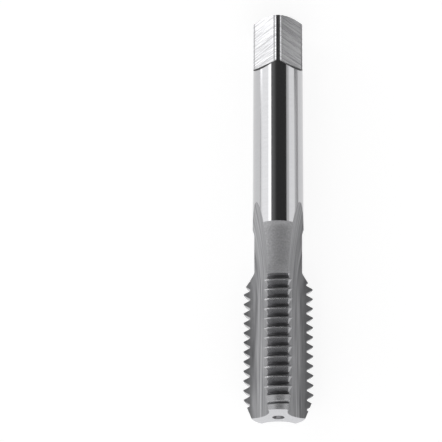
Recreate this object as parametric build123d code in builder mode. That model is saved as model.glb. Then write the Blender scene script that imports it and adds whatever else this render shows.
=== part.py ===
"""Hand tap, M12 x 1.75, finishing (bottoming) form with three straight flutes, all in millimetres.

Frame: the tool axis lies along Y. The origin is on the axis in the tip's end face, +Y points to the
driving square and +Z is up with the tap at rest on two of its lands. Angles round the axis are counted
from +Z towards +X, so one land and one corner of the square are uppermost.
"""
import os
from math import acos, cos, degrees, radians, sin, sqrt, tan

from build123d import *

# Overall form
TOTAL_LENGTH = 75.0
SHANK_RADIUS = 4.5
SHANK_START = 34.45
NECK_RADIUS = 4.2
NECK_END = 33.5
NECK_START = 26.4
NECK_FILLET = 1.0

# Metric thread, right-hand
PITCH = 1.75
MAJOR_RADIUS = 6.05
THREAD_DEPTH = 1.1
FLANK_HALF_ANGLE = 30.0
CREST_FLAT = 0.2
CREST_OFFSET = 0.23
LEAD_LENGTH = 2 * PITCH
TIP_RADIUS = 4.65
BACK_CONE_SLOPE = 0.62

# Flutes: a round-nosed groove that runs out on the circle of the grinding wheel
FLUTE_COUNT = 3
CORE_RADIUS = 2.4
FLUTE_RADIUS = 3.92
WHEEL_RADIUS = 75.0
FLUTE_END = 38.8

# Driving square
SQUARE_ACROSS_FLATS = 7.0
SQUARE_LENGTH = 10.25
SQUARE_RUNOUT = 1.15
SQUARE_EDGE_RADIUS = 0.8
END_FACE_RADIUS = 3.2
END_CHAMFER_LENGTH = 0.35

# Centre holes, 60 degrees
CENTRE_MOUTH_RADIUS = 1.05
CENTRE_PILOT_RADIUS = 0.45
CENTRE_PILOT_DEPTH = 0.9
CENTRE_HALF_ANGLE = 30.0

# Room past a surface that a cutter leaves
CLEAR = 1.0
THREAD_CLEAR = 0.1

# Angle swept by each cut of the thread, wider than a land
GROOVE_ARC = 64.0

# Worked out from the sizes above
ROOT_RADIUS = MAJOR_RADIUS - THREAD_DEPTH
FLUTE_CENTRE = CORE_RADIUS + FLUTE_RADIUS
FLUTE_DEPTH = SHANK_RADIUS - CORE_RADIUS
RUNOUT_LENGTH = sqrt(2 * WHEEL_RADIUS * FLUTE_DEPTH - FLUTE_DEPTH**2)
FLUTE_STRAIGHT = FLUTE_END - RUNOUT_LENGTH
RUNOUT_ANGLE = degrees(acos((WHEEL_RADIUS - FLUTE_DEPTH - CLEAR) / WHEEL_RADIUS))


def section_plane(angle: float, along: float) -> Plane:
    """Return the plane across the axis at `along`, with its local x pointing out at `angle`."""
    outward = Vector(sin(radians(angle)), 0, cos(radians(angle)))
    return Plane(origin=(0, along, 0), x_dir=outward, z_dir=(0, 1, 0))


def lengthwise_plane(angle: float) -> Plane:
    """Return the plane through the axis with local x pointing out at `angle` and local y along the axis."""
    outward = Vector(sin(radians(angle)), 0, cos(radians(angle)))
    return Plane(origin=(0, 0, 0), x_dir=outward, z_dir=outward.cross(Vector(0, 1, 0)))


def blank_outline() -> Sketch:
    """Draw half of the turned blank: radius across, distance from the tip along."""
    thread_end = NECK_START - (MAJOR_RADIUS - NECK_RADIUS) / BACK_CONE_SLOPE
    with BuildSketch(Plane.XY) as outline:
        with BuildLine():
            Polyline(
                (0, 0),
                (TIP_RADIUS, 0),
                (MAJOR_RADIUS, LEAD_LENGTH),
                (MAJOR_RADIUS, thread_end),
                (NECK_RADIUS, NECK_START),
                (NECK_RADIUS, NECK_END),
                (SHANK_RADIUS, SHANK_START),
                (SHANK_RADIUS, TOTAL_LENGTH - END_CHAMFER_LENGTH),
                (END_FACE_RADIUS, TOTAL_LENGTH),
                (0, TOTAL_LENGTH),
                close=True,
            )
        make_face()
        foot = outline.vertices().sort_by_distance((NECK_RADIUS, NECK_START, 0))[0]
        fillet(foot, NECK_FILLET)
    return outline.sketch


def centre_hole_outline(mouth: float, inward: float) -> Sketch:
    """Draw half of a centre hole whose mouth is at `mouth` and which goes `inward` (1 or -1) along Y."""
    cone_depth = (CENTRE_MOUTH_RADIUS - CENTRE_PILOT_RADIUS) / tan(radians(CENTRE_HALF_ANGLE))
    pilot_end = cone_depth + CENTRE_PILOT_DEPTH
    with BuildSketch(Plane.XY) as outline:
        with BuildLine():
            Polyline(
                (0, mouth),
                (CENTRE_MOUTH_RADIUS, mouth),
                (CENTRE_PILOT_RADIUS, mouth + inward * cone_depth),
                (CENTRE_PILOT_RADIUS, mouth + inward * pilot_end),
                (0, mouth + inward * (pilot_end + CENTRE_PILOT_RADIUS / 2)),
                close=True,
            )
        make_face()
    return outline.sketch


def thread_groove() -> Part:
    """Sweep the thread's groove along the stretch of helix that crosses one land, from +Z towards +X."""
    tan_flank = tan(radians(FLANK_HALF_ANGLE))
    outer_radius = MAJOR_RADIUS + THREAD_CLEAR
    root_half = (PITCH - CREST_FLAT) / 2 - THREAD_DEPTH * tan_flank
    outer_half = root_half + (THREAD_DEPTH + THREAD_CLEAR) * tan_flank
    with BuildPart() as groove:
        with BuildLine() as path:
            Helix(PITCH, PITCH * GROOVE_ARC / 360, ROOT_RADIUS, direction=(0, 1, 0))
        with BuildSketch(lengthwise_plane(0)):
            with BuildLine():
                Polyline(
                    (ROOT_RADIUS, -root_half),
                    (outer_radius, -outer_half),
                    (outer_radius, outer_half),
                    (ROOT_RADIUS, root_half),
                    close=True,
                )
            make_face()
        sweep(path=path.line, is_frenet=True)
    return groove.part


def groove_places() -> list[Location]:
    """Return where the groove crosses each land, from the tip to the back cone."""
    places = []
    for land in range(FLUTE_COUNT):
        start_angle = land * 360 / FLUTE_COUNT - GROOVE_ARC / 2
        first = CREST_OFFSET - 1.5 * PITCH + PITCH * (start_angle % 360) / 360
        turns = round((NECK_START - first) / PITCH)
        for turn in range(turns):
            places.append(Location((0, first + turn * PITCH, 0), (0, start_angle, 0)))
    return places


def is_square_edge(edge: Edge) -> bool:
    """Tell whether a straight edge is one of the eight along the square."""
    return edge.center().Y > TOTAL_LENGTH - SQUARE_LENGTH


groove_cutter = thread_groove()

with BuildPart() as thread_tap:
    # Turned blank with a centre hole in each end
    add(blank_outline())
    revolve(axis=Axis.Y)
    add(centre_hole_outline(0, 1))
    revolve(axis=Axis.Y, mode=Mode.SUBTRACT)
    add(centre_hole_outline(TOTAL_LENGTH, -1))
    revolve(axis=Axis.Y, mode=Mode.SUBTRACT)

    # Flutes, half way between the lands
    for index in range(FLUTE_COUNT):
        flute_angle = (index + 0.5) * 360 / FLUTE_COUNT
        plane = section_plane(flute_angle, FLUTE_STRAIGHT)
        wheel_axis = Axis((plane.origin + plane.x_dir * (CORE_RADIUS + WHEEL_RADIUS)), plane.y_dir)
        with BuildSketch(plane):
            with Locations((FLUTE_CENTRE, 0)):
                Circle(FLUTE_RADIUS)
        extrude(amount=-(FLUTE_STRAIGHT + CLEAR), mode=Mode.SUBTRACT)
        with BuildSketch(plane):
            with Locations((FLUTE_CENTRE, 0)):
                Circle(FLUTE_RADIUS)
        revolve(axis=wheel_axis, revolution_arc=RUNOUT_ANGLE, mode=Mode.SUBTRACT)

    # Thread, on the lands only
    with Locations(*groove_places()):
        add(groove_cutter, mode=Mode.SUBTRACT)

    # Driving square, one corner up
    square_start = TOTAL_LENGTH - SQUARE_LENGTH
    half_flats = SQUARE_ACROSS_FLATS / 2
    past_shank = SHANK_RADIUS + CLEAR
    slope = SQUARE_RUNOUT / (SHANK_RADIUS - half_flats)
    for index in range(4):
        with BuildSketch(lengthwise_plane(45 + 90 * index)):
            with BuildLine():
                Polyline(
                    (half_flats, square_start + SQUARE_RUNOUT),
                    (past_shank, square_start - CLEAR * slope),
                    (past_shank, TOTAL_LENGTH + CLEAR),
                    (half_flats, TOTAL_LENGTH + CLEAR),
                    close=True,
                )
            make_face()
        extrude(amount=SHANK_RADIUS, both=True, mode=Mode.SUBTRACT)
    corner_edges = thread_tap.edges().filter_by(Axis.Y).filter_by(is_square_edge)
    fillet(corner_edges, SQUARE_EDGE_RADIUS)

thread_tap.part.label = "thread_tap"
os.makedirs("parts", exist_ok=True)
export_step(thread_tap.part, "parts/thread_tap.step")
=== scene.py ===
"""Looks of an M12 hand tap: its finished mesh, its steels, and the studio that shows it."""
import logging
from dataclasses import dataclass, field
from enum import Enum, IntEnum
from math import acos, atan2, cos, pi, radians, sin, sqrt, tan

import bmesh
import bpy
from mathutils import Matrix, Vector


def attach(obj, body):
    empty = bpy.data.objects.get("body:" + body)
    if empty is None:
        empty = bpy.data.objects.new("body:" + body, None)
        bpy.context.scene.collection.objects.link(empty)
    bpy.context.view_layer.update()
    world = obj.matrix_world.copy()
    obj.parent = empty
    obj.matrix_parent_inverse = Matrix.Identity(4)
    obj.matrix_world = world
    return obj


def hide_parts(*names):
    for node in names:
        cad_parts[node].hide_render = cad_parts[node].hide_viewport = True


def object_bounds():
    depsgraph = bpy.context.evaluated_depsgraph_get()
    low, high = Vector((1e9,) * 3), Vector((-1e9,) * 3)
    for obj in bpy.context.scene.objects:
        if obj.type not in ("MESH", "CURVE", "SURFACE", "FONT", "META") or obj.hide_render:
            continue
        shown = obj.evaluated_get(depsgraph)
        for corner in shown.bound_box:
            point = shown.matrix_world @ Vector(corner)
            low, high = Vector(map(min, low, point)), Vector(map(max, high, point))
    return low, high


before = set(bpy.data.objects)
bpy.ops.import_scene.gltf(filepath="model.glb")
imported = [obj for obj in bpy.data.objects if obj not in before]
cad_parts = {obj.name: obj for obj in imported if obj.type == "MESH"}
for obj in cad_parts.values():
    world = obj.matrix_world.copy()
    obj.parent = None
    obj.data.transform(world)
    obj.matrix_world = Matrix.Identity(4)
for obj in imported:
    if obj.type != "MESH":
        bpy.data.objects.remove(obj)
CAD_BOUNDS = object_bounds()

LOG = logging.getLogger("thread_tap")
MILLIMETRE = 0.001
WHITE = "ffffff"

# Sockets that the Mix node tells apart only by number.
MIX_COLOUR_A = 6
MIX_COLOUR_B = 7
MIX_COLOUR_RESULT = 2
MIX_FLOAT_A = 2
MIX_FLOAT_B = 3
MIX_FLOAT_RESULT = 0

Point2 = tuple[float, float]
Point3 = tuple[float, float, float]


class Region(IntEnum):
    """The surfaces of the tap, in the order of its material slots."""

    SHANK = 0
    NECK = 1
    LAND = 2
    THREAD = 3
    ROOT = 4
    FLUTE = 5
    FLAT = 6
    FLAT_EDGE = 7
    HEEL = 8
    END_FACE = 9
    CENTRE_HOLE = 10


class Marks(Enum):
    """How the marks of the last operation lie on a surface."""

    ROUND = "rings round the axis"
    LENGTHWISE = "lines along the axis"
    ACROSS = "lines across a flat of the square"
    EVEN = "grain with no direction"


def linear(code: str) -> tuple[float, float, float, float]:
    """Turn an sRGB hex colour into a linear colour.

    Args:
        code: Six hex digits, such as "c8c8ca".

    Returns:
        Red, green, blue and an alpha of 1.
    """
    channels = []
    for start in (0, 2, 4):
        value = int(code[start:start + 2], 16) / 255
        channels.append(value / 12.92 if value <= 0.04045 else ((value + 0.055) / 1.055) ** 2.4)
    return (channels[0], channels[1], channels[2], 1.0)


def add_node(tree: bpy.types.NodeTree, kind: str, settings: dict | None = None,
             inputs: dict | None = None) -> bpy.types.Node:
    """Add a node with its settings, and fill or link its inputs.

    Args:
        tree: The node tree that gets the node.
        kind: Blender's name for the kind of node.
        settings: Properties of the node.
        inputs: Socket name or number, and the value for it or the output socket that feeds it.

    Returns:
        The new node.
    """
    node = tree.nodes.new(kind)
    for name, value in (settings or {}).items():
        setattr(node, name, value)
    for key, value in (inputs or {}).items():
        if isinstance(value, bpy.types.NodeSocket):
            tree.links.new(value, node.inputs[key])
        else:
            node.inputs[key].default_value = value
    return node


@dataclass(frozen=True)
class Steel:
    """A finish of hardened tool steel, with the marks of its last operation.

    Lengths are in millimetres. The grain's value runs from grain_low, which takes the dark colour and the
    rougher gloss, to grain_high, which takes the light colour and the smoother gloss.
    """

    name: str
    dark: str
    light: str
    roughness: float
    roughness_spread: float
    marks: Marks
    mark_width: float
    mark_length: float
    relief: float
    edge_radius: float = 0.03
    edge_samples: int = 6
    grain_low: float = 0.3
    grain_high: float = 0.7
    grain_detail: float = 3.0
    grain_roughness: float = 0.6
    lengthwise_radius: float = 5.0
    across_slope: float = 0.3

    def build(self) -> bpy.types.Material:
        """Make the material.

        Returns:
            The finished material.
        """
        material = bpy.data.materials.new(self.name)
        material.use_nodes = True
        tree = material.node_tree
        tree.nodes.clear()
        grain = add_node(tree, "ShaderNodeTexNoise", {"noise_dimensions": "3D"},
                         {"Vector": self.grain_place(tree), "Scale": 1.0, "Detail": self.grain_detail,
                          "Roughness": self.grain_roughness})
        spread = add_node(tree, "ShaderNodeMapRange", {},
                          {"Value": grain.outputs["Fac"], "From Min": self.grain_low,
                           "From Max": self.grain_high})
        tone = add_node(tree, "ShaderNodeMix", {"data_type": "RGBA"},
                        {"Factor": spread.outputs["Result"], MIX_COLOUR_A: linear(self.dark),
                         MIX_COLOUR_B: linear(self.light)})
        gloss = add_node(tree, "ShaderNodeMapRange", {},
                         {"Value": grain.outputs["Fac"], "From Min": self.grain_low,
                          "From Max": self.grain_high,
                          "To Min": self.roughness + self.roughness_spread,
                          "To Max": self.roughness - self.roughness_spread})
        edge = add_node(tree, "ShaderNodeBevel", {"samples": self.edge_samples},
                        {"Radius": self.edge_radius * MILLIMETRE})
        bump = add_node(tree, "ShaderNodeBump", {},
                        {"Strength": 1.0, "Distance": self.relief * MILLIMETRE,
                         "Height": grain.outputs["Fac"], "Normal": edge.outputs["Normal"]})
        shader = add_node(tree, "ShaderNodeBsdfPrincipled", {},
                          {"Base Color": tone.outputs[MIX_COLOUR_RESULT], "Metallic": 1.0,
                           "Roughness": gloss.outputs["Result"], "Normal": bump.outputs["Normal"]})
        add_node(tree, "ShaderNodeOutputMaterial", {}, {"Surface": shader.outputs["BSDF"]})
        return material

    def grain_place(self, tree: bpy.types.NodeTree) -> bpy.types.NodeSocket:
        """Lay the grain out along the path of the tool that made it.

        Args:
            tree: The material's node tree.

        Returns:
            The place in the grain, in mark widths across the path and mark lengths along it.
        """
        fine = 1 / (self.mark_width * MILLIMETRE)
        slow = 1 / (self.mark_length * MILLIMETRE)
        place = add_node(tree, "ShaderNodeTexCoord").outputs["Object"]
        split = add_node(tree, "ShaderNodeSeparateXYZ", {}, {"Vector": place}).outputs
        spoke = add_node(tree, "ShaderNodeCombineXYZ", {},
                         {"X": split["X"], "Z": split["Z"]}).outputs["Vector"]
        if self.marks is Marks.ROUND:
            radius = add_node(tree, "ShaderNodeVectorMath", {"operation": "LENGTH"}, {0: spoke})
            depth = add_node(tree, "ShaderNodeCombineXYZ", {},
                             {"X": radius.outputs["Value"], "Y": split["Y"]}).outputs["Vector"]
            return self.joined(tree, depth, fine, spoke, slow)
        if self.marks is Marks.LENGTHWISE:
            heading = add_node(tree, "ShaderNodeVectorMath", {"operation": "NORMALIZE"}, {0: spoke})
            rim = add_node(tree, "ShaderNodeVectorMath", {"operation": "SCALE"},
                           {0: heading.outputs["Vector"],
                            "Scale": self.lengthwise_radius * MILLIMETRE}).outputs["Vector"]
            along = add_node(tree, "ShaderNodeCombineXYZ", {}, {"Y": split["Y"]}).outputs["Vector"]
            return self.joined(tree, rim, fine, along, slow)
        if self.marks is Marks.ACROSS:
            side = add_node(tree, "ShaderNodeMath", {"operation": "ABSOLUTE"}, {0: split["X"]})
            line = add_node(tree, "ShaderNodeMath", {"operation": "MULTIPLY_ADD"},
                            {0: side.outputs["Value"], 1: self.across_slope, 2: split["Y"]})
            step = add_node(tree, "ShaderNodeCombineXYZ", {}, {"Y": line.outputs["Value"]})
            return self.joined(tree, step.outputs["Vector"], fine, spoke, slow)
        return add_node(tree, "ShaderNodeVectorMath", {"operation": "SCALE"},
                        {0: place, "Scale": fine}).outputs["Vector"]

    def joined(self, tree: bpy.types.NodeTree, across: bpy.types.NodeSocket, fine: float,
               along: bpy.types.NodeSocket, slow: float) -> bpy.types.NodeSocket:
        """Add a finely divided place across the marks to a coarsely divided one along them.

        Args:
            tree: The material's node tree.
            across: The place across the marks.
            fine: Divisions per metre across.
            along: The place along the marks.
            slow: Divisions per metre along.

        Returns:
            The place in the grain.
        """
        quick = add_node(tree, "ShaderNodeVectorMath", {"operation": "SCALE"}, {0: across, "Scale": fine})
        long = add_node(tree, "ShaderNodeVectorMath", {"operation": "SCALE"}, {0: along, "Scale": slow})
        return add_node(tree, "ShaderNodeVectorMath", {"operation": "ADD"},
                        {0: quick.outputs["Vector"], 1: long.outputs["Vector"]}).outputs["Vector"]


@dataclass(frozen=True)
class TapFinishes:
    """The finish of each surface, in the order of Region."""

    # Centreless ground and polished: a near mirror, with very fine rings.
    shank: Steel = Steel(name="steel_centreless_polished", dark="bcbcbe", light="c4c4c6", roughness=0.1,
                         roughness_spread=0.02, marks=Marks.ROUND, mark_width=0.06, mark_length=3.0,
                         relief=0.0002)
    # Turned and tumbled before hardening: an even, dull satin. Its grain is drawn coarser than the real
    # one, so that it shows.
    neck: Steel = Steel(name="steel_turned_tumbled", dark="b4b4b6", light="c8c8ca", roughness=0.62,
                        roughness_spread=0.05, marks=Marks.EVEN, mark_width=0.35, mark_length=0.35,
                        relief=0.002)
    # The thread's crests and the lead's cone, ground round: smooth, with thin rings.
    land: Steel = Steel(name="steel_ground_lead", dark="b2b2b4", light="c0c0c2", roughness=0.27,
                        roughness_spread=0.04, marks=Marks.ROUND, mark_width=0.15, mark_length=4.0,
                        relief=0.0004, edge_radius=0.05)
    # Thread ground with a dressed wheel: clean flanks that blur what they mirror.
    thread: Steel = Steel(name="steel_ground_thread", dark="aeaeb0", light="bababc", roughness=0.24,
                          roughness_spread=0.03, marks=Marks.ROUND, mark_width=0.15, mark_length=4.0,
                          relief=0.0005, edge_radius=0.04)
    # The thread's root: its dark colour is painted shade at the bottom of the groove, dull between bright
    # flanks.
    root: Steel = Steel(name="steel_thread_root_painted_shade", dark="606062", light="747476", roughness=0.45,
                        roughness_spread=0.05, marks=Marks.ROUND, mark_width=0.15, mark_length=4.0,
                        relief=0.0005, edge_radius=0.02)
    # Flutes ground lengthwise: long soft streaks, drawn coarser than the wheel's grit so that they show.
    flute: Steel = Steel(name="steel_ground_flute", dark="8c8c8e", light="c2c2c4", roughness=0.56,
                         roughness_spread=0.08, marks=Marks.LENGTHWISE, mark_width=0.22, mark_length=16.0,
                         relief=0.004)
    # Flats ground across, a little aslant: parallel streaks on a bright face, drawn coarser than the
    # wheel's grit so that they show.
    flat: Steel = Steel(name="steel_ground_flat", dark="b2b2b4", light="f2f2f4", roughness=0.16,
                        roughness_spread=0.02, marks=Marks.ACROSS, mark_width=0.3, mark_length=5.0,
                        relief=0.0003)
    # Where each flat meets the square's rounded corner: a thin grey edge, a painted dark reflection line.
    flat_edge: Steel = Steel(name="steel_flat_edge_painted_reflection", dark="78787a", light="848486", roughness=0.3,
                             roughness_spread=0.03, marks=Marks.EVEN, mark_width=0.6, mark_length=0.6,
                             relief=0.0003, edge_radius=0.01)
    # The heel that the flat's wheel leaves at the square's shoulder: near black, painted shade.
    heel: Steel = Steel(name="steel_heel_painted_shade", dark="0e0e10", light="18181a", roughness=0.5,
                        roughness_spread=0.05, marks=Marks.EVEN, mark_width=0.2, mark_length=0.2,
                        relief=0.002, edge_radius=0.01)
    # Faced end: pale and matt.
    end_face: Steel = Steel(name="steel_faced_end", dark="cccccf", light="dadadc", roughness=0.5,
                            roughness_spread=0.05, marks=Marks.EVEN, mark_width=0.25, mark_length=0.25,
                            relief=0.002)
    # Centre-drilled cone: glossy, with fine rings; its dark colour is painted shade in the hole.
    centre_hole: Steel = Steel(name="steel_drilled_centre_painted_shade", dark="4c4c4e", light="707072", roughness=0.16,
                               roughness_spread=0.04, marks=Marks.ROUND, mark_width=0.05, mark_length=3.0,
                               relief=0.001)

    def build(self) -> list[bpy.types.Material]:
        """Make the materials, one for each region, in order."""
        steels = (self.shank, self.neck, self.land, self.thread, self.root, self.flute, self.flat,
                  self.flat_edge, self.heel, self.end_face, self.centre_hole)
        return [steel.build() for steel in steels]


@dataclass
class ThreadTap:
    """The tap: a turned blank, threaded, fluted and squared.

    Sizes are in millimetres and angles in degrees. The axis is Y, from the tip's end face to the square.
    """

    finishes: TapFinishes = field(default_factory=TapFinishes)

    # The turned blank.
    total_length: float = 75.0
    shank_radius: float = 4.5
    shank_start: float = 34.45
    neck_radius: float = 4.2
    neck_end: float = 33.5
    neck_start: float = 26.4
    neck_fillet: float = 1.0
    neck_blend: float = 3.0
    back_cone_slope: float = 0.62
    tip_radius: float = 4.65
    end_face_radius: float = 3.5
    end_chamfer_length: float = 0.38

    # The centre holes in both ends.
    centre_mouth: float = 1.05
    centre_pilot: float = 0.45
    centre_pilot_depth: float = 0.9
    centre_half_angle: float = 30.0

    # The thread. Its lead and the cutter's start before the tip are counted in pitches.
    pitch: float = 1.75
    major_radius: float = 6.05
    thread_depth: float = 1.1
    flank_half_angle: float = 30.0
    crest_flat: float = 0.2
    crest_offset: float = 0.23
    lead_pitches: float = 2.0
    early_pitches: float = 1.5

    # The flutes, each ground by a wheel that leaves the tap on its own circle.
    flute_count: int = 3
    core_radius: float = 2.4
    flute_radius: float = 3.92
    wheel_radius: float = 75.0
    flute_end: float = 38.8

    # The square. Each flat has a grey margin of painted reflection, wider at its +X edge by some steps of
    # the rounding.
    flat_count: int = 4
    across_flats: float = 7.0
    square_length: float = 10.7
    square_runout: float = 1.15
    square_edge_radius: float = 0.8
    flat_margin: float = 0.11
    reflection_edge_steps: int = 2

    # How far the cutters pass the blank, and how finely curves are divided.
    clear: float = 1.0
    thread_clear: float = 0.1
    round_steps: int = 256
    groove_steps: int = 120
    runout_steps: int = 48
    fillet_steps: int = 8
    blend_steps: int = 6
    edge_steps: int = 8

    # What joins and shades the cut mesh. A face is an end face from this much of its normal along Y.
    merge_distance: float = 0.0005
    sharp_angle: float = 10.0
    end_facing: float = 0.999

    def blank_profile(self) -> tuple[list[Point2], list[Region]]:
        """Draw half of the turned blank, with both centre holes.

        Returns:
            Radius and distance from the tip at each corner, and the region of each stretch between them.
        """
        cone_depth = (self.centre_mouth - self.centre_pilot) / tan(radians(self.centre_half_angle))
        pilot_end = cone_depth + self.centre_pilot_depth
        point_end = pilot_end + self.centre_pilot / 2
        thread_end = self.neck_start - (self.major_radius - self.neck_radius) / self.back_cone_slope
        top = self.total_length
        foot = self.neck_foot()
        head = self.neck_head()
        profile: list[Point2] = [
            (0.0, point_end), (self.centre_pilot, pilot_end), (self.centre_pilot, cone_depth),
            (self.centre_mouth, 0.0), (self.tip_radius, 0.0),
            (self.major_radius, self.lead_pitches * self.pitch), (self.major_radius, thread_end),
            *foot, *head,
            (self.shank_radius, self.shank_start), (self.shank_radius, top - self.end_chamfer_length),
            (self.end_face_radius, top), (self.centre_mouth, top),
            (self.centre_pilot, top - cone_depth), (self.centre_pilot, top - pilot_end),
            (0.0, top - point_end)]
        regions = [Region.CENTRE_HOLE] * 3 + [Region.LAND] * 3
        regions += [Region.NECK] * (len(foot) + len(head) + 1)
        regions += [Region.SHANK] * 3 + [Region.CENTRE_HOLE] * 3
        return profile, regions

    def neck_foot(self) -> list[Point2]:
        """Round the inside corner where the back cone meets the neck.

        Returns:
            Points along the fillet, from the cone to the neck.
        """
        cone_angle = atan2(self.back_cone_slope, 1.0)
        centre_radius = self.neck_radius + self.neck_fillet
        centre_along = self.neck_start + self.neck_fillet * tan(cone_angle / 2)
        points = []
        for step in range(self.fillet_steps + 1):
            angle = cone_angle * (1 - step / self.fillet_steps)
            points.append((centre_radius - self.neck_fillet * cos(angle),
                           centre_along - self.neck_fillet * sin(angle)))
        return points

    def neck_head(self) -> list[Point2]:
        """Round the corner where the neck starts to widen to the shank.

        Returns:
            Points along the round, from the neck to the chamfer.
        """
        slope = atan2(self.shank_radius - self.neck_radius, self.shank_start - self.neck_end)
        start = self.neck_end - self.neck_blend * tan(slope / 2)
        points = []
        for step in range(self.blend_steps + 1):
            angle = slope * step / self.blend_steps
            points.append((self.neck_radius + self.neck_blend * (1 - cos(angle)),
                           start + self.neck_blend * sin(angle)))
        return points

    def blank(self, materials: list[bpy.types.Material]) -> bpy.types.Mesh:
        """Turn the blank from its profile.

        Args:
            materials: One material for each region.

        Returns:
            The closed mesh, in millimetres.
        """
        profile, regions = self.blank_profile()
        count = self.round_steps
        vertices: list[Point3] = []
        rings: list[list[int]] = []
        for radius, along in profile:
            if radius == 0.0:
                rings.append([len(vertices)] * count)
                vertices.append((0.0, along, 0.0))
                continue
            rings.append(list(range(len(vertices), len(vertices) + count)))
            for step in range(count):
                angle = 2 * pi * step / count
                vertices.append((radius * sin(angle), along, radius * cos(angle)))
        faces: list[list[int]] = []
        indices: list[int] = []
        for number, region in enumerate(regions):
            low, high = rings[number], rings[number + 1]
            for step in range(count):
                after = (step + 1) % count
                corners = (low[step], low[after], high[after], high[step])
                faces.append(list(dict.fromkeys(corners)))
                indices.append(int(region))
        return self.mesh("tap_blank", vertices, faces, materials, indices)

    def mesh(self, name: str, vertices: list[Point3], faces: list[list[int]],
             materials: list[bpy.types.Material], indices: list[int]) -> bpy.types.Mesh:
        """Make a mesh with a material index on each face and its faces turned outwards.

        Args:
            name: The mesh's name.
            vertices: Its points.
            faces: The points of each face.
            materials: The materials that the indices count.
            indices: The material index of each face.

        Returns:
            The new mesh.
        """
        mesh = bpy.data.meshes.new(name)
        mesh.from_pydata(vertices, [], faces)
        for material in materials:
            mesh.materials.append(material)
        mesh.polygons.foreach_set("material_index", indices)
        mesh.update()
        mesh.validate()
        work = bmesh.new()
        work.from_mesh(mesh)
        bmesh.ops.recalc_face_normals(work, faces=work.faces)
        work.to_mesh(mesh)
        work.free()
        return mesh

    def tube(self, name: str, sections: list[list[Point3]], sides: list[Region], cap: Region,
             materials: list[bpy.types.Material]) -> bpy.types.Object:
        """Join closed sections into a capped solid that cuts the blank.

        Args:
            name: The cutter's name.
            sections: The corners of each section, in the same order round.
            sides: The surface that each side leaves, from its corner to the next.
            cap: The surface that the two ends leave.
            materials: One material for each region.

        Returns:
            The cutter, in millimetres.
        """
        width = len(sections[0])
        vertices = [corner for section in sections for corner in section]
        faces = [list(range(width)), [len(vertices) - width + corner for corner in range(width)]]
        for number in range(len(sections) - 1):
            for corner in range(width):
                after = (corner + 1) % width
                start = number * width
                faces.append([start + corner, start + after, start + width + after,
                              start + width + corner])
        used = sorted({cap, *sides})
        indices = [used.index(cap)] * 2 + [used.index(side) for side in sides] * (len(sections) - 1)
        mesh = self.mesh(name, vertices, faces, [materials[region] for region in used], indices)
        return bpy.data.objects.new(name, mesh)

    def thread_cutter(self, materials: list[bpy.types.Material]) -> bpy.types.Object:
        """Make the thread's groove, one solid along its whole helix.

        Args:
            materials: One material for each region.

        Returns:
            The cutter, in millimetres.
        """
        tan_flank = tan(radians(self.flank_half_angle))
        root = self.major_radius - self.thread_depth
        outer = self.major_radius + self.thread_clear
        root_half = (self.pitch - self.crest_flat) / 2 - self.thread_depth * tan_flank
        outer_half = root_half + (outer - root) * tan_flank
        profile = [(root, -root_half), (outer, -outer_half), (outer, outer_half), (root, root_half)]
        # The groove's bottom takes the root's painted shade.
        sides = [Region.THREAD, Region.THREAD, Region.THREAD, Region.ROOT]
        start = self.crest_offset - self.early_pitches * self.pitch
        turns = round((self.neck_start - start) / self.pitch)
        sections = []
        for step in range(turns * self.groove_steps + 1):
            angle = 2 * pi * step / self.groove_steps
            along = start + self.pitch * step / self.groove_steps
            sections.append([(radius * sin(angle), along + offset, radius * cos(angle))
                             for radius, offset in profile])
        return self.tube("thread_cutter", sections, sides, Region.THREAD, materials)

    def flute_cutter(self, materials: list[bpy.types.Material]) -> bpy.types.Object:
        """Make the grinding wheel's path for the flute at +Z: straight, then out on the wheel's circle.

        Args:
            materials: One material for each region.

        Returns:
            The cutter, in millimetres.
        """
        depth = self.shank_radius - self.core_radius
        runout = sqrt(2 * self.wheel_radius * depth - depth ** 2)
        straight = self.flute_end - runout
        last = acos((self.wheel_radius - depth - self.clear) / self.wheel_radius)
        centre = self.core_radius + self.flute_radius
        reach = self.wheel_radius - self.flute_radius
        path = [(-self.clear, centre, 0.0)]
        for step in range(self.runout_steps + 1):
            angle = last * step / self.runout_steps
            path.append((straight + reach * sin(angle), centre + reach * (1 - cos(angle)), angle))
        sections = []
        for along, height, tilt in path:
            section = []
            for step in range(self.round_steps):
                angle = 2 * pi * step / self.round_steps
                side = self.flute_radius * sin(angle)
                rise = self.flute_radius * cos(angle)
                section.append((side, along - rise * sin(tilt), height + rise * cos(tilt)))
            sections.append(section)
        sides = [Region.FLUTE] * self.round_steps
        return self.tube("flute_cutter", sections, sides, Region.FLUTE, materials)

    def flat_cutter(self, materials: list[bpy.types.Material]) -> bpy.types.Object:
        """Make the cutter of the flat at +Z, with the soft edges that it leaves on the square.

        Args:
            materials: One material for each region.

        Returns:
            The cutter, in millimetres.
        """
        half = self.across_flats / 2
        edge = self.square_edge_radius
        inner = self.shank_radius - edge
        side = sqrt(inner ** 2 - (half - edge) ** 2)
        last = atan2(side, half - edge)
        inset = side - self.flat_margin
        curve = []
        for step in range(1, self.edge_steps + 1):
            angle = last * step / self.edge_steps
            curve.append((side + edge * sin(angle), half - edge + edge * cos(angle)))
        past = (self.shank_radius + self.clear) / cos(last)
        curve.append((past * sin(last), past * cos(last)))
        mirrored = [(-x, z) for x, z in reversed(curve)]
        outline = [*mirrored, (-side, half), (-inset, half), (inset, half), (side, half), *curve]
        sides = [Region.FLAT] * len(outline)
        # The flat's edges take the grey of the painted reflection line.
        sides[len(curve)] = Region.FLAT_EDGE
        for step in range(self.reflection_edge_steps + 1):
            sides[len(curve) + 2 + step] = Region.FLAT_EDGE
        start = self.total_length - self.square_length
        slope = self.square_runout / (self.shank_radius - half)
        low = [(x, start + self.square_runout - (z - half) * slope, z) for x, z in outline]
        high = [(x, self.total_length + self.clear, z) for x, z in outline]
        # The cutter's ends leave the heel, with its painted shade.
        return self.tube("flat_cutter", [low, high], sides, Region.HEEL, materials)

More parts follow.
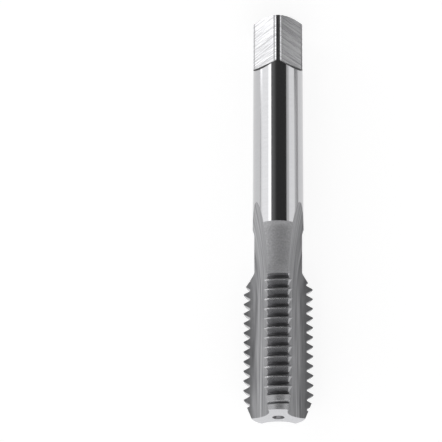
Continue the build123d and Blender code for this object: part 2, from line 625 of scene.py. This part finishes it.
    def machining(self) -> bpy.types.GeometryNodeTree:
        """Build the node tree that cuts the thread, the flutes and the square in the blank.

        Returns:
            The tree, with the cutters and the counts as its named inputs.
        """
        tree = bpy.data.node_groups.new("tap_machining", "GeometryNodeTree")
        sockets = (("Blank", "NodeSocketGeometry"), ("Thread cutter", "NodeSocketObject"),
                   ("Flute cutter", "NodeSocketObject"), ("Flutes", "NodeSocketInt"),
                   ("Flat cutter", "NodeSocketObject"), ("Flats", "NodeSocketInt"),
                   ("Merge distance", "NodeSocketFloat"), ("Sharp angle", "NodeSocketFloat"),
                   ("Scale", "NodeSocketFloat"), ("End facing", "NodeSocketFloat"),
                   ("End finish", "NodeSocketMaterial"))
        for name, kind in sockets:
            tree.interface.new_socket(name, in_out="INPUT", socket_type=kind)
        tree.interface.new_socket("Tap", in_out="OUTPUT", socket_type="NodeSocketGeometry")
        given = add_node(tree, "NodeGroupInput").outputs
        part = self.cut(tree, given)
        part = self.shaded(tree, given, part)
        scaled = add_node(tree, "GeometryNodeTransform", {}, {"Geometry": part, "Scale": given["Scale"]})
        real = add_node(tree, "GeometryNodeRealizeInstances", {}, {"Geometry": scaled.outputs["Geometry"]})
        normal = add_node(tree, "GeometryNodeInputNormal")
        lengthwise = add_node(tree, "ShaderNodeSeparateXYZ", {}, {"Vector": normal.outputs[0]})
        steep = add_node(tree, "ShaderNodeMath", {"operation": "ABSOLUTE"}, {0: lengthwise.outputs["Y"]})
        ends = add_node(tree, "FunctionNodeCompare", {"data_type": "FLOAT", "operation": "GREATER_THAN"},
                        {0: steep.outputs["Value"], 1: given["End facing"]})
        faced = add_node(tree, "GeometryNodeSetMaterial", {},
                         {"Geometry": real.outputs["Geometry"], "Selection": ends.outputs["Result"],
                          "Material": given["End finish"]})
        add_node(tree, "NodeGroupOutput", {}, {"Tap": faced.outputs["Geometry"]})
        return tree

    def cut(self, tree: bpy.types.NodeTree, given: bpy.types.NodeOutputs) -> bpy.types.NodeSocket:
        """Cut the flutes, the thread and the flats in the blank, one after another.

        Args:
            tree: The machining tree.
            given: The tree's inputs.

        Returns:
            The socket with the cut blank.
        """
        thread = add_node(tree, "GeometryNodeObjectInfo", {}, {"Object": given["Thread cutter"]})
        flutes = self.ring(tree, given["Flute cutter"], given["Flutes"])
        flats = self.ring(tree, given["Flat cutter"], given["Flats"])
        part = given["Blank"]
        for cutter in (flutes, thread.outputs["Geometry"], flats):
            difference = add_node(tree, "GeometryNodeMeshBoolean",
                                  {"operation": "DIFFERENCE", "solver": "EXACT"}, {"Mesh 1": part})
            tree.links.new(cutter, difference.inputs["Mesh 2"])
            part = difference.outputs["Mesh"]
        return part

    def shaded(self, tree: bpy.types.NodeTree, given: bpy.types.NodeOutputs,
               part: bpy.types.NodeSocket) -> bpy.types.NodeSocket:
        """Merge the doubles that the cuts leave, and shade all but the sharp edges smooth.

        Args:
            tree: The machining tree.
            given: The tree's inputs.
            part: The socket with the cut blank.

        Returns:
            The socket with the shaded mesh.
        """
        merged = add_node(tree, "GeometryNodeMergeByDistance", {},
                          {"Geometry": part, "Distance": given["Merge distance"]})
        angle = add_node(tree, "GeometryNodeInputMeshEdgeAngle")
        soft = add_node(tree, "FunctionNodeCompare", {"data_type": "FLOAT", "operation": "LESS_THAN"},
                        {0: angle.outputs["Unsigned Angle"], 1: given["Sharp angle"]})
        smooth = add_node(tree, "GeometryNodeSetShadeSmooth", {"domain": "FACE"},
                          {"Geometry": merged.outputs["Geometry"], "Shade Smooth": True})
        edges = add_node(tree, "GeometryNodeSetShadeSmooth", {"domain": "EDGE"},
                         {"Geometry": smooth.outputs["Geometry"], "Shade Smooth": soft.outputs["Result"]})
        return edges.outputs["Geometry"]

    def ring(self, tree: bpy.types.NodeTree, cutter: bpy.types.NodeSocket,
             count: bpy.types.NodeSocket) -> bpy.types.NodeSocket:
        """Repeat a cutter round the axis, the first half a step from +Z.

        Args:
            tree: The machining tree.
            cutter: The cutter's object socket.
            count: How many cuts there are.

        Returns:
            The socket with all the cutters as one mesh.
        """
        source = add_node(tree, "GeometryNodeObjectInfo", {}, {"Object": cutter})
        points = add_node(tree, "GeometryNodePoints", {}, {"Count": count})
        index = add_node(tree, "GeometryNodeInputIndex")
        shifted = add_node(tree, "ShaderNodeMath", {"operation": "ADD"},
                           {0: index.outputs["Index"], 1: 0.5})
        share = add_node(tree, "ShaderNodeMath", {"operation": "DIVIDE"},
                         {0: shifted.outputs["Value"], 1: count})
        turn = add_node(tree, "ShaderNodeMath", {"operation": "MULTIPLY"},
                        {0: share.outputs["Value"], 1: 2 * pi})
        rotation = add_node(tree, "ShaderNodeCombineXYZ", {}, {"Y": turn.outputs["Value"]})
        placed = add_node(tree, "GeometryNodeInstanceOnPoints", {},
                          {"Points": points.outputs["Points"], "Instance": source.outputs["Geometry"],
                           "Rotation": rotation.outputs["Vector"]})
        real = add_node(tree, "GeometryNodeRealizeInstances", {}, {"Geometry": placed.outputs["Instances"]})
        return real.outputs["Geometry"]

    def build(self) -> bpy.types.Object:
        """Machine the blank and put the finished tap in the place of the CAD solid.

        Returns:
            The tap.
        """
        materials = self.finishes.build()
        blank = bpy.data.objects.new("tap_blank", self.blank(materials))
        bpy.context.scene.collection.objects.link(blank)
        tree = self.machining()
        modifier = blank.modifiers.new("machining", "NODES")
        modifier.node_group = tree
        values = {"Thread cutter": self.thread_cutter(materials),
                  "Flute cutter": self.flute_cutter(materials), "Flutes": self.flute_count,
                  "Flat cutter": self.flat_cutter(materials), "Flats": self.flat_count,
                  "Merge distance": self.merge_distance, "Sharp angle": radians(self.sharp_angle),
                  "Scale": MILLIMETRE, "End facing": self.end_facing,
                  "End finish": materials[Region.END_FACE]}
        for item in tree.interface.items_tree:
            if item.in_out == "INPUT" and item.name in values:
                modifier[item.identifier] = values[item.name]
        evaluated = blank.evaluated_get(bpy.context.evaluated_depsgraph_get())
        mesh = bpy.data.meshes.new_from_object(evaluated)
        mesh.name = "finished_tap"
        tap = bpy.data.objects.new("finished_tap", mesh)
        bpy.context.scene.collection.objects.link(tap)
        bpy.data.objects.remove(blank)
        for name in ("thread_cutter", "flute_cutter", "flat_cutter"):
            bpy.data.objects.remove(bpy.data.objects[name])
        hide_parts("thread_tap")
        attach(tap, "root")
        mesh.calc_loop_triangles()
        LOG.info("tap: %d vertices, %d triangles, materials %s", len(mesh.vertices),
                 len(mesh.loop_triangles), [slot.name for slot in mesh.materials])
        return tap


@dataclass(frozen=True)
class LightPanel:
    """A stretch of the studio's walls or ceiling, as the tap sees it.

    Its turn is in degrees round the tap's axis, from straight up towards +X. Its reach is how far along the
    axis it lies: -1 straight towards the tip, +1 straight towards the square.
    """

    turn: tuple[float, float]
    reach: tuple[float, float]
    level: float
    turn_fade: float = 2.0
    reach_fade: float = 0.08


@dataclass(frozen=True)
class Studio:
    """The white board, the bench below it, the light round them and the camera.

    Lengths are in millimetres, and each panel is laid over the ones before it.
    """

    camera_place: Point3 = (2.07, -111.54, 365.13)
    camera_aim: Point3 = (-10.1, 36.17, 0.0)
    camera_roll: float = 0.52
    lens: float = 181.59
    sensor_width: float = 36.0
    view_depth: float = 10000.0
    board_left: float = -600.0
    board_right: float = 33.0
    board_near: float = -25.0
    board_far: float = 600.0
    bench_half: float = 1500.0
    bench_drop: float = 3.0
    board_colour: str = "9a9a9a"
    board_glow: float = 0.81
    bench_colour: str = "eeeeee"
    room_level: float = 0.8
    panels: tuple[LightPanel, ...] = (
        # The bright wall on the left.
        LightPanel(turn=(-140.0, -58.0), reach=(-1.2, 1.2), level=1.12, turn_fade=14.0),
        # The dim wall beyond the square.
        LightPanel(turn=(-100.0, 100.0), reach=(0.49, 1.2), level=0.42, turn_fade=30.0),
        # The right-hand wall, dimmer lower down.
        LightPanel(turn=(37.0, 84.0), reach=(-1.2, 1.2), level=0.5, turn_fade=4.0),
        LightPanel(turn=(84.0, 150.0), reach=(-1.2, 1.2), level=0.4, turn_fade=14.0),
        # The dark ceiling on the tip's side, which greys the middle of the neck and the flutes.
        LightPanel(turn=(-58.0, 60.0), reach=(-0.3, 0.26), level=0.2, turn_fade=10.0),
        # The left-hand lamp, which fades outwards, and its bright inner edge: the shank's left half.
        LightPanel(turn=(-84.0, -31.0), reach=(0.26, 0.49), level=1.4, turn_fade=24.0, reach_fade=0.04),
        LightPanel(turn=(-43.0, -31.0), reach=(0.26, 0.49), level=2.3, turn_fade=8.0, reach_fade=0.04),
        # The grey gap outside it, at the shank's left side.
        LightPanel(turn=(-110.0, -84.0), reach=(0.26, 0.435), level=0.64, turn_fade=20.0, reach_fade=0.02),
        # The lamp that whitens the square's left-hand flat.
        LightPanel(turn=(-105.0, -78.0), reach=(0.435, 0.56), level=2.7, turn_fade=6.0, reach_fade=0.02),
        # The right-hand lamp and its dimmer outer part: the shank's right half.
        LightPanel(turn=(47.0, 84.0), reach=(0.26, 0.49), level=1.2, turn_fade=8.0),
        LightPanel(turn=(82.0, 100.0), reach=(0.26, 0.435), level=0.76, turn_fade=8.0, reach_fade=0.02),
        # The dark gap that greys the square's right-hand flat.
        LightPanel(turn=(80.0, 105.0), reach=(0.435, 0.56), level=0.05, turn_fade=6.0, reach_fade=0.02),
        # The dark opening between the lamps, darkest on its right: the shank's dark band.
        LightPanel(turn=(-31.0, 39.2), reach=(-0.08, 0.5), level=0.185, turn_fade=1.5, reach_fade=0.04),
        LightPanel(turn=(-14.0, 46.0), reach=(-0.08, 0.5), level=0.042, turn_fade=20.0, reach_fade=0.04),
        # The grey rim of the right-hand lamp.
        LightPanel(turn=(39.2, 47.0), reach=(0.26, 0.49), level=0.7),
        # The dark gap over the tip: the dark stripe on the lead.
        LightPanel(turn=(-13.0, 24.0), reach=(-0.6, -0.1), level=0.14, turn_fade=6.0),
        # The lamp beyond the tip: the end face, and the flanks that look that way.
        LightPanel(turn=(-80.0, 80.0), reach=(-1.2, -0.6), level=2.0, turn_fade=20.0, reach_fade=0.1),
    )

    def build(self) -> None:
        """Set the board, the bench, the light and the camera."""
        height = CAD_BOUNDS[0][2]
        board = self.sheet("white_board", (self.board_left * MILLIMETRE, self.board_near * MILLIMETRE),
                           (self.board_right * MILLIMETRE, self.board_far * MILLIMETRE), height)
        board.data.materials.append(self.board_paper())
        reach = self.bench_half * MILLIMETRE
        bench = self.sheet("bench", (-reach, -reach), (reach, reach),
                           height - self.bench_drop * MILLIMETRE)
        bench.data.materials.append(self.bench_paint())
        self.world()
        self.camera()

    def sheet(self, name: str, low: Point2, high: Point2, height: float) -> bpy.types.Object:
        """Lay a flat sheet that is no part of the tap.

        Args:
            name: The sheet's name.
            low: Its least X and Y, in metres.
            high: Its greatest X and Y, in metres.
            height: Its Z, in metres.

        Returns:
            The sheet.
        """
        mesh = bpy.data.meshes.new(name)
        corners = [(low[0], low[1], height), (high[0], low[1], height), (high[0], high[1], height),
                   (low[0], high[1], height)]
        mesh.from_pydata(corners, [], [(0, 1, 2, 3)])
        mesh.update()
        sheet = bpy.data.objects.new(name, mesh)
        bpy.context.scene.collection.objects.link(sheet)
        return sheet

    def board_paper(self) -> bpy.types.Material:
        """Make the board's paper, which shows as white and still takes the tap's shadow.

        Returns:
            The paper's material.
        """
        material = bpy.data.materials.new("paper_matt_white")
        material.use_nodes = True
        tree = material.node_tree
        tree.nodes.clear()
        path = add_node(tree, "ShaderNodeLightPath").outputs
        seen = add_node(tree, "ShaderNodeMath", {"operation": "ADD"},
                        {0: path["Is Camera Ray"], 1: path["Is Glossy Ray"]})
        shown = add_node(tree, "ShaderNodeMath", {"operation": "ADD", "use_clamp": True},
                         {0: seen.outputs["Value"], 1: path["Is Transmission Ray"]})
        glow = add_node(tree, "ShaderNodeMath", {"operation": "MULTIPLY"},
                        {0: shown.outputs["Value"], 1: self.board_glow})
        paper = add_node(tree, "ShaderNodeBsdfDiffuse", {}, {"Color": linear(self.board_colour)})
        light = add_node(tree, "ShaderNodeEmission", {}, {"Strength": glow.outputs["Value"]})
        both = add_node(tree, "ShaderNodeAddShader", {},
                        {0: paper.outputs["BSDF"], 1: light.outputs["Emission"]})
        add_node(tree, "ShaderNodeOutputMaterial", {}, {"Surface": both.outputs["Shader"]})
        return material

    def bench_paint(self) -> bpy.types.Material:
        """Make the plain pale paint of the bench beyond the board.

        Returns:
            The paint's material.
        """
        material = bpy.data.materials.new("paint_matt_grey")
        material.use_nodes = True
        tree = material.node_tree
        tree.nodes.clear()
        paint = add_node(tree, "ShaderNodeBsdfDiffuse", {}, {"Color": linear(self.bench_colour)})
        add_node(tree, "ShaderNodeOutputMaterial", {}, {"Surface": paint.outputs["BSDF"]})
        return material

    def world(self) -> None:
        """Light the studio from its panels, each laid over the ones before it."""
        world = bpy.data.worlds.new("studio_light")
        bpy.context.scene.world = world
        world.use_nodes = True
        tree = world.node_tree
        tree.nodes.clear()
        direction = add_node(tree, "ShaderNodeTexCoord").outputs["Generated"]
        split = add_node(tree, "ShaderNodeSeparateXYZ", {}, {"Vector": direction}).outputs
        turn = add_node(tree, "ShaderNodeMath", {"operation": "ARCTAN2"}, {0: split["X"], 1: split["Z"]})
        degree = add_node(tree, "ShaderNodeMath", {"operation": "DEGREES"}, {0: turn.outputs["Value"]})
        level = add_node(tree, "ShaderNodeValue").outputs["Value"]
        level.default_value = self.room_level
        for panel in self.panels:
            wide = self.window(tree, degree.outputs["Value"], panel.turn, panel.turn_fade)
            long = self.window(tree, split["Y"], panel.reach, panel.reach_fade)
            share = add_node(tree, "ShaderNodeMath", {"operation": "MULTIPLY"}, {0: wide, 1: long})
            mixed = add_node(tree, "ShaderNodeMix", {"data_type": "FLOAT"},
                             {"Factor": share.outputs["Value"], MIX_FLOAT_A: level,
                              MIX_FLOAT_B: panel.level})
            level = mixed.outputs[MIX_FLOAT_RESULT]
        shine = add_node(tree, "ShaderNodeBackground", {}, {"Color": linear(WHITE), "Strength": level})
        add_node(tree, "ShaderNodeOutputWorld", {}, {"Surface": shine.outputs["Background"]})

    def window(self, tree: bpy.types.NodeTree, value: bpy.types.NodeSocket, span: tuple[float, float],
               fade: float) -> bpy.types.NodeSocket:
        """Give 1 where a value lies in a span and 0 outside it, with soft ends.

        Args:
            tree: The world's node tree.
            value: The value.
            span: Where the span starts and ends.
            fade: How wide each soft end is.

        Returns:
            The socket with the share.
        """
        ends = []
        for place, low, high in ((span[0], 0.0, 1.0), (span[1], 1.0, 0.0)):
            ends.append(add_node(tree, "ShaderNodeMapRange", {"interpolation_type": "SMOOTHSTEP"},
                                 {"Value": value, "From Min": place - fade / 2,
                                  "From Max": place + fade / 2, "To Min": low,
                                  "To Max": high}).outputs["Result"])
        return add_node(tree, "ShaderNodeMath", {"operation": "MULTIPLY"},
                        {0: ends[0], 1: ends[1]}).outputs["Value"]

    def camera(self) -> None:
        """Look down on the tap from its tip's side."""
        lens = bpy.data.cameras.new("camera")
        lens.lens = self.lens
        lens.sensor_width = self.sensor_width
        lens.clip_end = self.view_depth * MILLIMETRE
        camera = bpy.data.objects.new("camera", lens)
        bpy.context.scene.collection.objects.link(camera)
        place = Vector(self.camera_place) * MILLIMETRE
        aim = Vector(self.camera_aim) * MILLIMETRE
        look = (aim - place).normalized()
        right = look.cross(Vector((0.0, 1.0, 0.0))).normalized()
        up = right.cross(look)
        turn = Matrix((right, up, -look)).transposed()
        roll = Matrix.Rotation(radians(self.camera_roll), 3, "Z")
        camera.matrix_world = Matrix.Translation(place) @ (turn @ roll).to_4x4()
        bpy.context.scene.camera = camera


def main() -> None:
    """Build the tap and its studio."""
    logging.basicConfig(level=logging.INFO, format="%(message)s")
    bpy.context.scene.view_settings.view_transform = "Standard"
    ThreadTap().build()
    Studio().build()


if __name__ == "__main__":
    main()
